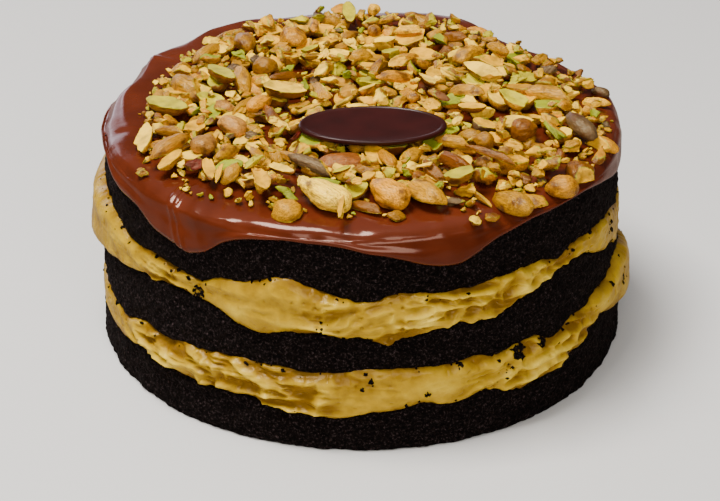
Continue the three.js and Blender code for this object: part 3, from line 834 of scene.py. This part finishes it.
def scatter_nuts(rows, first):
    """Drops pieces into the heap: each tries some spots and stays where it lies lowest."""
    i = first
    for count, largest, smallest, kind, inset in rows:
        for k in range(count):
            i += 1
            long = (largest + (smallest - largest) * k / count) * (0.85 + 0.3 * draw(i, 1))
            wide = long * (0.55 + 0.3 * draw(i, 2))
            nut = new_nut(i, kind, long, wide, math.tau * draw(i, 8), None, None)
            best = None
            for attempt in range(TRIES):
                angle = math.tau * draw(i, 30 + attempt)
                edge = float(around(HEAP_EDGE, angle)) - inset - nut["reach"]
                edge -= BARE_AT_BACK * max(0, math.sin(angle))
                radius = edge * math.sqrt(draw(i, 50 + attempt))
                x, y = radius * math.cos(angle), radius * math.sin(angle)
                z = rest_height(nut, x, y, False)
                if z < math.inf and (best is None or z < best[2]):
                    best = (x, y, z)
            if best:
                nut["x"], nut["y"], nut["z"] = best
                lay_down(nut)


scatter_nuts(LOWER_NUTS, 1000)
for i, (x, y, long, wide, heading, kind, colour) in enumerate(TOP_NUTS):
    long, wide = LONGER * long, WIDER * wide
    skin, flesh = (colour, "straw") if kind in "hwf" else (("gold", "tan", "brown")[i % 3], colour)
    nut = new_nut(i, kind, long, wide, math.radians(heading), skin, flesh)
    nut["x"], nut["y"] = x, y
    nut["z"] = rest_height(nut, x, y, True)
    nut["on_top"] = True
    lay_down(nut)
scatter_nuts(FILL_NUTS, 3000)

nut_material, tree, shader, place = new_material("Roasted pistachio")
skin, flesh, cut, local = [
    add_node(tree, "ShaderNodeAttribute", {}, attribute_name=name).outputs
    for name in ("skin", "flesh", "cut", "local")
]
# Fine dark streaks run the length of each kernel, and husk sticks to it in patches.
stretched = add_node(tree, "ShaderNodeVectorMath", {0: local["Vector"], 1: (3, 13, 13)},
                     operation="MULTIPLY")
moved = add_node(tree, "ShaderNodeVectorMath", {
    0: place, 1: (60, 60, 60), 2: stretched.outputs["Vector"],
}, operation="MULTIPLY_ADD")
streaks = add_node(tree, "ShaderNodeTexNoise", {
    "Vector": moved.outputs["Vector"], "Scale": 1, "Detail": 4, "Roughness": 0.65,
})
streak_mask = add_node(tree, "ShaderNodeMapRange", {
    "Value": streaks.outputs["Fac"], "From Min": 0.38, "From Max": 0.66, "To Min": 1.4,
    "To Max": 0.4,
})
streaked = add_node(tree, "ShaderNodeVectorMath", {
    0: skin["Vector"], "Scale": streak_mask.outputs["Result"],
}, operation="SCALE")
patches = add_node(tree, "ShaderNodeTexNoise", {"Vector": place, "Scale": 210, "Detail": 4})
husk_mask = add_node(tree, "ShaderNodeMapRange", {
    "Value": patches.outputs["Fac"], "From Min": 0.54, "From Max": 0.66, "To Max": 0.85,
})
husk = add_node(tree, "ShaderNodeMix", {
    "Factor": husk_mask.outputs["Result"],
    "A": streaked.outputs["Vector"],
    "B": (0.085, 0.024, 0.008, 1),
}, data_type="RGBA")
# The flesh is greenest right under the skin, and toasted in places.
toast = add_node(tree, "ShaderNodeMapRange", {
    "Value": patches.outputs["Fac"], "From Min": 0.42, "From Max": 0.75, "To Min": 1.1,
    "To Max": 0.45,
})
toasted = add_node(tree, "ShaderNodeVectorMath", {
    0: flesh["Vector"], "Scale": toast.outputs["Result"],
}, operation="SCALE")
under_skin = add_node(tree, "ShaderNodeMapRange", {
    "Value": cut["Fac"], "From Min": 0.55, "From Max": 0.95,
})
inner = add_node(tree, "ShaderNodeMix", {
    "Factor": under_skin.outputs["Result"],
    "A": (0.30, 0.30, 0.010, 1),
    "B": toasted.outputs["Vector"],
}, data_type="RGBA")
bare = add_node(tree, "ShaderNodeMapRange", {
    "Value": cut["Fac"], "From Min": 0.25, "From Max": 0.55,
})
surface = add_node(tree, "ShaderNodeMix", {
    "Factor": bare.outputs["Result"],
    "A": husk.outputs["Result"],
    "B": inner.outputs["Result"],
}, data_type="RGBA")
dullness = add_node(tree, "ShaderNodeMapRange", {
    "Value": cut["Fac"], "To Min": 0.30, "To Max": 0.48,
})
furrows = add_node(tree, "ShaderNodeMath", {0: streaks.outputs["Fac"], 1: 0.6},
                   operation="MULTIPLY")
grain = add_node(tree, "ShaderNodeGroup", {
    "Place": place, "Scale": 1200, "Detail": 4, "Roughness": 0.5,
    "Coarse height": furrows.outputs["Value"], "Strength": 0.55, "Distance": 0.0005,
}, node_tree=grain_effect)
set_sockets(tree, shader, {
    "Base Color": surface.outputs["Result"],
    "Normal": grain.outputs["Normal"],
    "Roughness": dullness.outputs["Result"],
    "Specular IOR Level": 0.5,
    "Specular Tint": (1.0, 0.82, 0.52, 1),
    "Subsurface Weight": 0.05,
    "Subsurface Radius": (0.0025, 0.0015, 0.0004),
})


def nut_shape(name, faces, cuts, lump, seed, hollow=0.0, bend=0.0):
    """A kernel or a part of one, 1 unit each way: an egg, lumpy and wrinkled, with torn cuts.
    The first cut's face can be hollow, and bend makes a banana of it."""
    shape = bmesh.new()
    bmesh.ops.create_icosphere(shape, subdivisions=5, radius=1)
    cut_mask = shape.verts.layers.float.new("cut")
    local_place = shape.verts.layers.float_vector.new("local")
    offset = Vector(np.random.default_rng(seed).uniform(-50, 50, 3))
    for vertex in shape.verts:
        point = vertex.co.copy()
        # Large and small lumps, then fine ridges along the kernel.
        swell = 1 + lump * noise.noise(point * 1.4 + offset)
        swell += 0.4 * lump * noise.noise(point * 3.3 - offset)
        swell += 0.022 * noise.noise(Vector((point.x * 2, point.y * 8, point.z * 8)) + offset)
        taper = 1 - 0.16 * point.x - 0.10 * point.x**4
        point = Vector((point.x, point.y * taper, point.z * taper)) * swell
        point.y += bend * (0.5 - point.x**2)
        vertex.co = point
        vertex[local_place] = point
    for which, (normal, depth, tear) in enumerate(cuts):
        normal = Vector(normal).normalized()
        for vertex in shape.verts:
            over = vertex.co.dot(normal) - depth
            if over <= 0:
                continue
            side = vertex.co - normal * vertex.co.dot(normal)
            rough = tear * noise.noise(side * 2.2 + offset)
            rough += 0.45 * tear * noise.noise(side * 7 - offset)
            dip = hollow * max(0, 1 - 1.3 * side.length_squared) if which == 0 else 0
            vertex.co -= normal * (over + (rough + dip) * min(1, over * 7))
            vertex[cut_mask] = 1
    # Made to fill a box 1 unit each way, so that a spot's size is the piece's size.
    low = Vector([min(v.co[k] for v in shape.verts) for k in range(3)])
    high = Vector([max(v.co[k] for v in shape.verts) for k in range(3)])
    for vertex in shape.verts:
        for k in range(3):
            vertex.co[k] = (vertex.co[k] - (low[k] + high[k]) / 2) / (high[k] - low[k])
    mesh = bpy.data.meshes.new(name)
    shape.to_mesh(mesh)
    shape.free()
    fine_shape = bpy.data.objects.new(name, mesh)
    bpy.context.scene.collection.objects.link(fine_shape)
    fewer = fine_shape.modifiers.new("Fewer faces", "DECIMATE")
    fewer.ratio = faces / len(mesh.polygons)
    graph = bpy.context.evaluated_depsgraph_get()
    mesh = bpy.data.meshes.new_from_object(fine_shape.evaluated_get(graph))
    bpy.data.objects.remove(fine_shape)
    mesh.polygons.foreach_set("use_smooth", [True] * len(mesh.polygons))
    return bpy.data.objects.new(name, mesh)


def split_half(rng):
    """One flat inner face below, often an end bitten off."""
    cuts = [((rng.uniform(-0.15, 0.15), rng.uniform(-0.15, 0.15), -1), rng.uniform(0, 0.2), 0.07)]
    if rng.random() < 0.65:
        end = rng.choice([-1, 1])
        cuts.append(((end, rng.uniform(-0.7, 0.7), 0.3), rng.uniform(0.35, 0.7), 0.14))
    if rng.random() < 0.3:
        cuts.append(((0.3, rng.choice([-1, 1]), 0.4), rng.uniform(0.5, 0.7), 0.14))
    return cuts


def chopped(rng):
    """Three to five cuts from all sides, so that little skin is left."""
    cuts = []
    for _ in range(rng.integers(3, 6)):
        direction = rng.normal(size=3)
        cuts.append((tuple(direction), rng.uniform(0.25, 0.6), 0.16))
    return cuts


def scatter_tree(name):
    """Geometry Nodes: a shape from a collection on every spot, turned and sized by the spot."""
    tree = bpy.data.node_groups.new(name, "GeometryNodeTree")
    for socket, way, kind in [
        ("Spots", "INPUT", "Geometry"),
        ("Shapes", "INPUT", "Collection"),
        ("Finish", "INPUT", "Material"),
        ("Pieces", "OUTPUT", "Geometry"),
    ]:
        tree.interface.new_socket(socket, in_out=way, socket_type="NodeSocket" + kind)
    given = add_node(tree, "NodeGroupInput", {})
    shapes = add_node(tree, "GeometryNodeCollectionInfo", {
        "Collection": given.outputs["Shapes"], "Separate Children": True, "Reset Children": True,
    })
    shape, turn, size = [
        add_node(tree, "GeometryNodeInputNamedAttribute", {"Name": name}, data_type=kind)
        for name, kind in [("shape", "INT"), ("turn", "FLOAT_VECTOR"), ("size", "FLOAT_VECTOR")]
    ]
    placed = add_node(tree, "GeometryNodeInstanceOnPoints", {
        "Points": given.outputs["Spots"],
        "Instance": shapes.outputs["Instances"],
        "Pick Instance": True,
        "Instance Index": shape.outputs["Attribute"],
        "Rotation": turn.outputs["Attribute"],
        "Scale": size.outputs["Attribute"],
    })
    real = add_node(tree, "GeometryNodeRealizeInstances", {
        "Geometry": placed.outputs["Instances"],
    })
    finished = add_node(tree, "GeometryNodeSetMaterial", {
        "Geometry": real.outputs["Geometry"], "Material": given.outputs["Finish"],
    })
    add_node(tree, "NodeGroupOutput", {"Pieces": finished.outputs["Geometry"]})
    return tree


scatter = scatter_tree("Scatter")


def scattered_mesh(name, shapes, spots, material):
    """One plain mesh of all spots' pieces. A spot is a dict with its place, size, turn and
    colours."""
    shelf = bpy.data.collections.new(name + " shapes")
    for shape in shapes:
        shelf.objects.link(shape)
    cloud = bpy.data.meshes.new(name + " spots")
    cloud.from_pydata([(s["x"] * MM, s["y"] * MM, s["z"] * MM) for s in spots], [], [])
    which = [int(draw(s["i"], 60) * len(shapes)) for s in spots]
    cloud.attributes.new("shape", "INT", "POINT").data.foreach_set("value", which)
    for attribute, values in [
        ("size", [(s["long"] * MM, s["wide"] * MM, s["high"] * MM) for s in spots]),
        ("turn", [s["turn"] for s in spots]),
        ("skin", [s["skin"] for s in spots]),
        ("flesh", [s["flesh"] for s in spots]),
    ]:
        layer = cloud.attributes.new(attribute, "FLOAT_VECTOR", "POINT")
        layer.data.foreach_set("vector", np.array(values).ravel())
    carrier = bpy.data.objects.new(name + " carrier", cloud)
    bpy.context.scene.collection.objects.link(carrier)
    modifier = carrier.modifiers.new("Scatter", "NODES")
    modifier.node_group = scatter
    inputs = {item.name: item.identifier for item in scatter.interface.items_tree}
    modifier[inputs["Shapes"]] = shelf
    modifier[inputs["Finish"]] = material
    graph = bpy.context.evaluated_depsgraph_get()
    mesh = bpy.data.meshes.new_from_object(carrier.evaluated_get(graph))
    mesh.name = name
    bpy.data.objects.remove(carrier)
    for shape in shapes:
        bpy.data.objects.remove(shape)
    bpy.data.collections.remove(shelf)
    return mesh


rng = np.random.default_rng(5)
half_shapes = [
    nut_shape(f"half {k:02d}", 1200, split_half(rng), 0.16, 100 + k, rng.uniform(0, 0.22),
              rng.uniform(-0.14, 0.14))
    for k in range(10)
]
whole_shapes = [
    nut_shape(f"whole {k:02d}", 1200, [], 0.13, 200 + k, 0, rng.uniform(-0.12, 0.12))
    for k in range(4)
]
broken_shapes = [nut_shape(f"broken {k:02d}", 500, chopped(rng), 0.3, 300 + k) for k in range(12)]
curl_shapes = [
    nut_shape(f"curl {k:02d}", 1500, split_half(rng), 0.3, 350 + k, 0.4, (-1) ** k * 0.55)
    for k in range(3)
]
flake_shapes = [
    nut_shape(f"flake {k:02d}", 800, [((0, 0.1, -1), -0.2, 0.1), ((0, 0, 1), 0.35, 0.1)], 0.45,
              370 + k, 0.1, 0.2)
    for k in range(3)
]
chunk_shapes = [nut_shape(f"chunk {k:02d}", 330, chopped(rng), 0.35, 400 + k) for k in range(12)]
crumb_shapes = [nut_shape(f"crumb {k:02d}", 110, chopped(rng), 0.45, 500 + k) for k in range(8)]

for name, shapes, kinds, nodes_replaced in [
    ("pistachio_halves", half_shapes, "h c", ["nut_heap"]),
    ("pistachio_wholes", whole_shapes, "w", []),
    ("pistachio_broken", broken_shapes, "b", []),
    ("pistachio_curls", curl_shapes, "k", []),
    ("pistachio_flakes", flake_shapes, "f", []),
    ("pistachio_chunks", chunk_shapes, "chunk", []),
    ("pistachio_crumbs", crumb_shapes, "crumb", []),
]:
    spots = [nut for kind in kinds.split() for nut in pieces_by_kind.get(kind, [])]
    mesh = scattered_mesh(name, shapes, spots, nut_material)
    add_piece(name, mesh, nut_material, "pistachios", *nodes_replaced)

# ---------------------------------------------------------------------------------------------
# Sponge crumbs: torn loose when the side was cut and wiped. They stick along both edges of each
# band of cream, and some are smeared into it.

# Places where more of them lie together: band, degrees, height, spread in mm, how many, how large
# beside the others.
CRUMB_SPOTS = [
    (1, 233.6, 53.0, 2.6, 44, 1), (1, 271.2, 45.4, 1.4, 16, 1), (0, 272.0, 28.5, 1.1, 7, 1),
    (0, 290.3, 31.6, 1.0, 8, 1), (0, 283.2, 22.8, 1.2, 9, 1), (0, 270.4, 25.6, 1.0, 4, 1),
    (0, 304.0, 31.2, 2.4, 34, 1.7), (0, 311.0, 31.7, 2.8, 40, 1.7), (1, 262.0, 50.0, 3.5, 8, 1),
    (0, 300.0, 25.0, 4.0, 8, 1), (1, 340.0, 55.0, 3.0, 10, 1), (0, 345.0, 31.0, 4.0, 12, 1),
    (0, 120.0, 24.0, 5.0, 12, 1),
]
EDGE_CRUMBS = 300

loose = []
for i in range(EDGE_CRUMBS):
    band = i % 2
    degrees = 360 * draw(i, 101)
    edges = [(LOWER_BAND_FOOT, LOWER_BAND_HEAD), (UPPER_BAND_FOOT, UPPER_BAND_HEAD)][band]
    low, high = (float(around(edge, math.radians(degrees))) for edge in edges)
    into = 2.4 * draw(i, 102) ** 2.2
    height = low + into - 0.2 if draw(i, 103) < 0.4 else high - into + 0.3
    loose.append((band, degrees, height, 1))
i = EDGE_CRUMBS
for band, degrees, height, spread, count, larger in CRUMB_SPOTS:
    for k in range(count):
        i += 1
        reach = spread * math.sqrt(draw(i, 104))
        way = math.tau * draw(i, 105)
        spot = degrees + 0.6 * reach * math.cos(way)
        loose.append((band, spot, height + reach * math.sin(way), larger))

crumb_spots = []
for i, (band, degrees, height, larger) in enumerate(loose):
    z, radius = cream_surfaces[band]
    step = int(round(degrees / 360 * CREAM_STEPS)) % CREAM_STEPS
    row = int(np.argmin(np.abs(z[step] - height)))
    size = larger * (0.6 + 1.5 * draw(i, 106) ** 2.5)
    out = radius[step, row] - 0.05 * size
    angle = math.radians(degrees)
    crumb_spots.append({
        "i": i, "x": out * math.cos(angle), "y": out * math.sin(angle), "z": height,
        "long": size * 1.2, "wide": size, "high": size * 0.9, "skin": (0, 0, 0), "flesh": (0, 0, 0),
        "turn": (math.tau * draw(i, 107), math.tau * draw(i, 108), math.tau * draw(i, 109)),
    })
loose_shapes = [nut_shape(f"loose {k:02d}", 90, chopped(rng), 0.4, 600 + k) for k in range(8)]
mesh = scattered_mesh("sponge_crumbs", loose_shapes, crumb_spots, crumb_material)
add_piece("sponge_crumbs", mesh, crumb_material, "chocolate_sponge")

# ---------------------------------------------------------------------------------------------
# Plaque: a thin oval of dark chocolate, cast in a mould, with a soft raised rim. It lies on top of
# the nuts and leans a little towards the front.

plaque_material, tree, shader, place = new_material("Dark chocolate")
mottle = add_node(tree, "ShaderNodeGroup", {
    "Place": place, "Scale": 120, "Detail": 5, "Roughness": 0.5,
    "Dark level": 0.3, "Dark": (0.020, 0.0034, 0.0028, 1),
    "Medium level": 0.525, "Medium": (0.026, 0.0043, 0.0035, 1),
    "Pale level": 0.75, "Pale": (0.032, 0.0052, 0.0042, 1),
}, node_tree=mottle_effect)
set_sockets(tree, shader, {
    "Base Color": mottle.outputs["Colour"],
    "Roughness": 0.26,
    "Specular IOR Level": 0.22,
})

PLAQUE_STEPS = 160
half = PLAQUE_LENGTH / 2
plaque_profile = np.array([
    (half - 3.0, 0), (half - 0.9, 0.02), (half - 0.25, 0.3), (half, 0.9), (half - 0.15, 1.5),
    (half - 0.6, 1.9), (half - 1.2, 2.0), (half - 1.8, 1.86), (half - 2.2, 1.66),
    (half - 2.8, 1.6), (half - 12, 1.6),
])
radius = np.repeat(plaque_profile[None, :, 0], PLAQUE_STEPS, axis=0)
z = np.repeat(plaque_profile[None, :, 1], PLAQUE_STEPS, axis=0)
mesh = swept_mesh("plaque_oval", radius, z)
lean = math.radians(2)
for vertex in mesh.vertices:
    x, y, up = vertex.co
    y = y * PLAQUE_WIDTH / PLAQUE_LENGTH
    vertex.co = (
        x + PLAQUE_X * MM,
        y * math.cos(lean) - up * math.sin(lean) + PLAQUE_Y * MM,
        y * math.sin(lean) + up * math.cos(lean) + PLAQUE_Z * MM,
    )
add_piece("plaque_oval", mesh, plaque_material, "dark_chocolate", "plaque")

# ---------------------------------------------------------------------------------------------
# Studio: a pale floor, one broad soft light from above to the left, a weaker one low in front,
# and two pale bluish ones behind, which show as haze on the glossy rim. The floor is darker in
# mirror images than to the eye, so that it leaves no grey edge on the glaze and the creams.

floor_mesh = bpy.data.meshes.new("floor")
floor_mesh.from_pydata([(-3, -3, 0), (3, -3, 0), (3, 3, 0), (-3, 3, 0)], [], [(0, 1, 2, 3)])
floor = bpy.data.objects.new("floor", floor_mesh)
bpy.context.scene.collection.objects.link(floor)
floor_material, tree, shader, place = new_material("Pale floor")
seen_by = add_node(tree, "ShaderNodeLightPath", {})
floor_colour = add_node(tree, "ShaderNodeMix", {
    "Factor": seen_by.outputs["Is Glossy Ray"],
    "A": (0.68, 0.67, 0.66, 1),
    "B": (0.22, 0.17, 0.15, 1),
}, data_type="RGBA")
set_sockets(tree, shader, {"Base Color": floor_colour.outputs["Result"], "Roughness": 0.6})
floor_mesh.materials.append(floor_material)

world = bpy.data.worlds.new("Studio")
bpy.context.scene.world = world
world.use_nodes = True
sky = world.node_tree
direction = add_node(sky, "ShaderNodeTexCoord", {})
height = add_node(sky, "ShaderNodeSeparateXYZ", {"Vector": direction.outputs["Generated"]})
brightness = add_node(sky, "ShaderNodeMapRange", {
    "Value": height.outputs["Z"], "From Min": 0.5, "From Max": 0.95, "To Min": 0.07,
    "To Max": 0.62,
})
set_sockets(sky, sky.nodes["Background"], {
    "Color": (1.0, 0.98, 0.97, 1), "Strength": brightness.outputs["Result"],
})

for name, spot, across, up, power, colour in [
    ("window", (-0.33, -0.12, 1.20), 0.5, 0.5, 28, (1.0, 0.97, 0.92)),
    ("front", (0.12, -1.08, 0.66), 0.9, 0.45, 9, (1.0, 0.96, 0.90)),
    ("backdrop", (-0.6, 1.65, 0.25), 1.7, 0.5, 4, (0.90, 0.89, 1.0)),
    ("left haze", (-0.85, 1.45, 0.52), 0.7, 0.6, 3.5, (0.86, 0.84, 1.0)),
]:
    light_data = bpy.data.lights.new(name, "AREA")
    light_data.shape = "RECTANGLE"
    light_data.size = across
    light_data.size_y = up
    light_data.energy = power
    light_data.color = colour
    light = bpy.data.objects.new(name, light_data)
    bpy.context.scene.collection.objects.link(light)
    light.location = spot
    light.rotation_euler = (Vector((0, 0, 0.05)) - Vector(spot)).to_track_quat("-Z", "Y").to_euler()
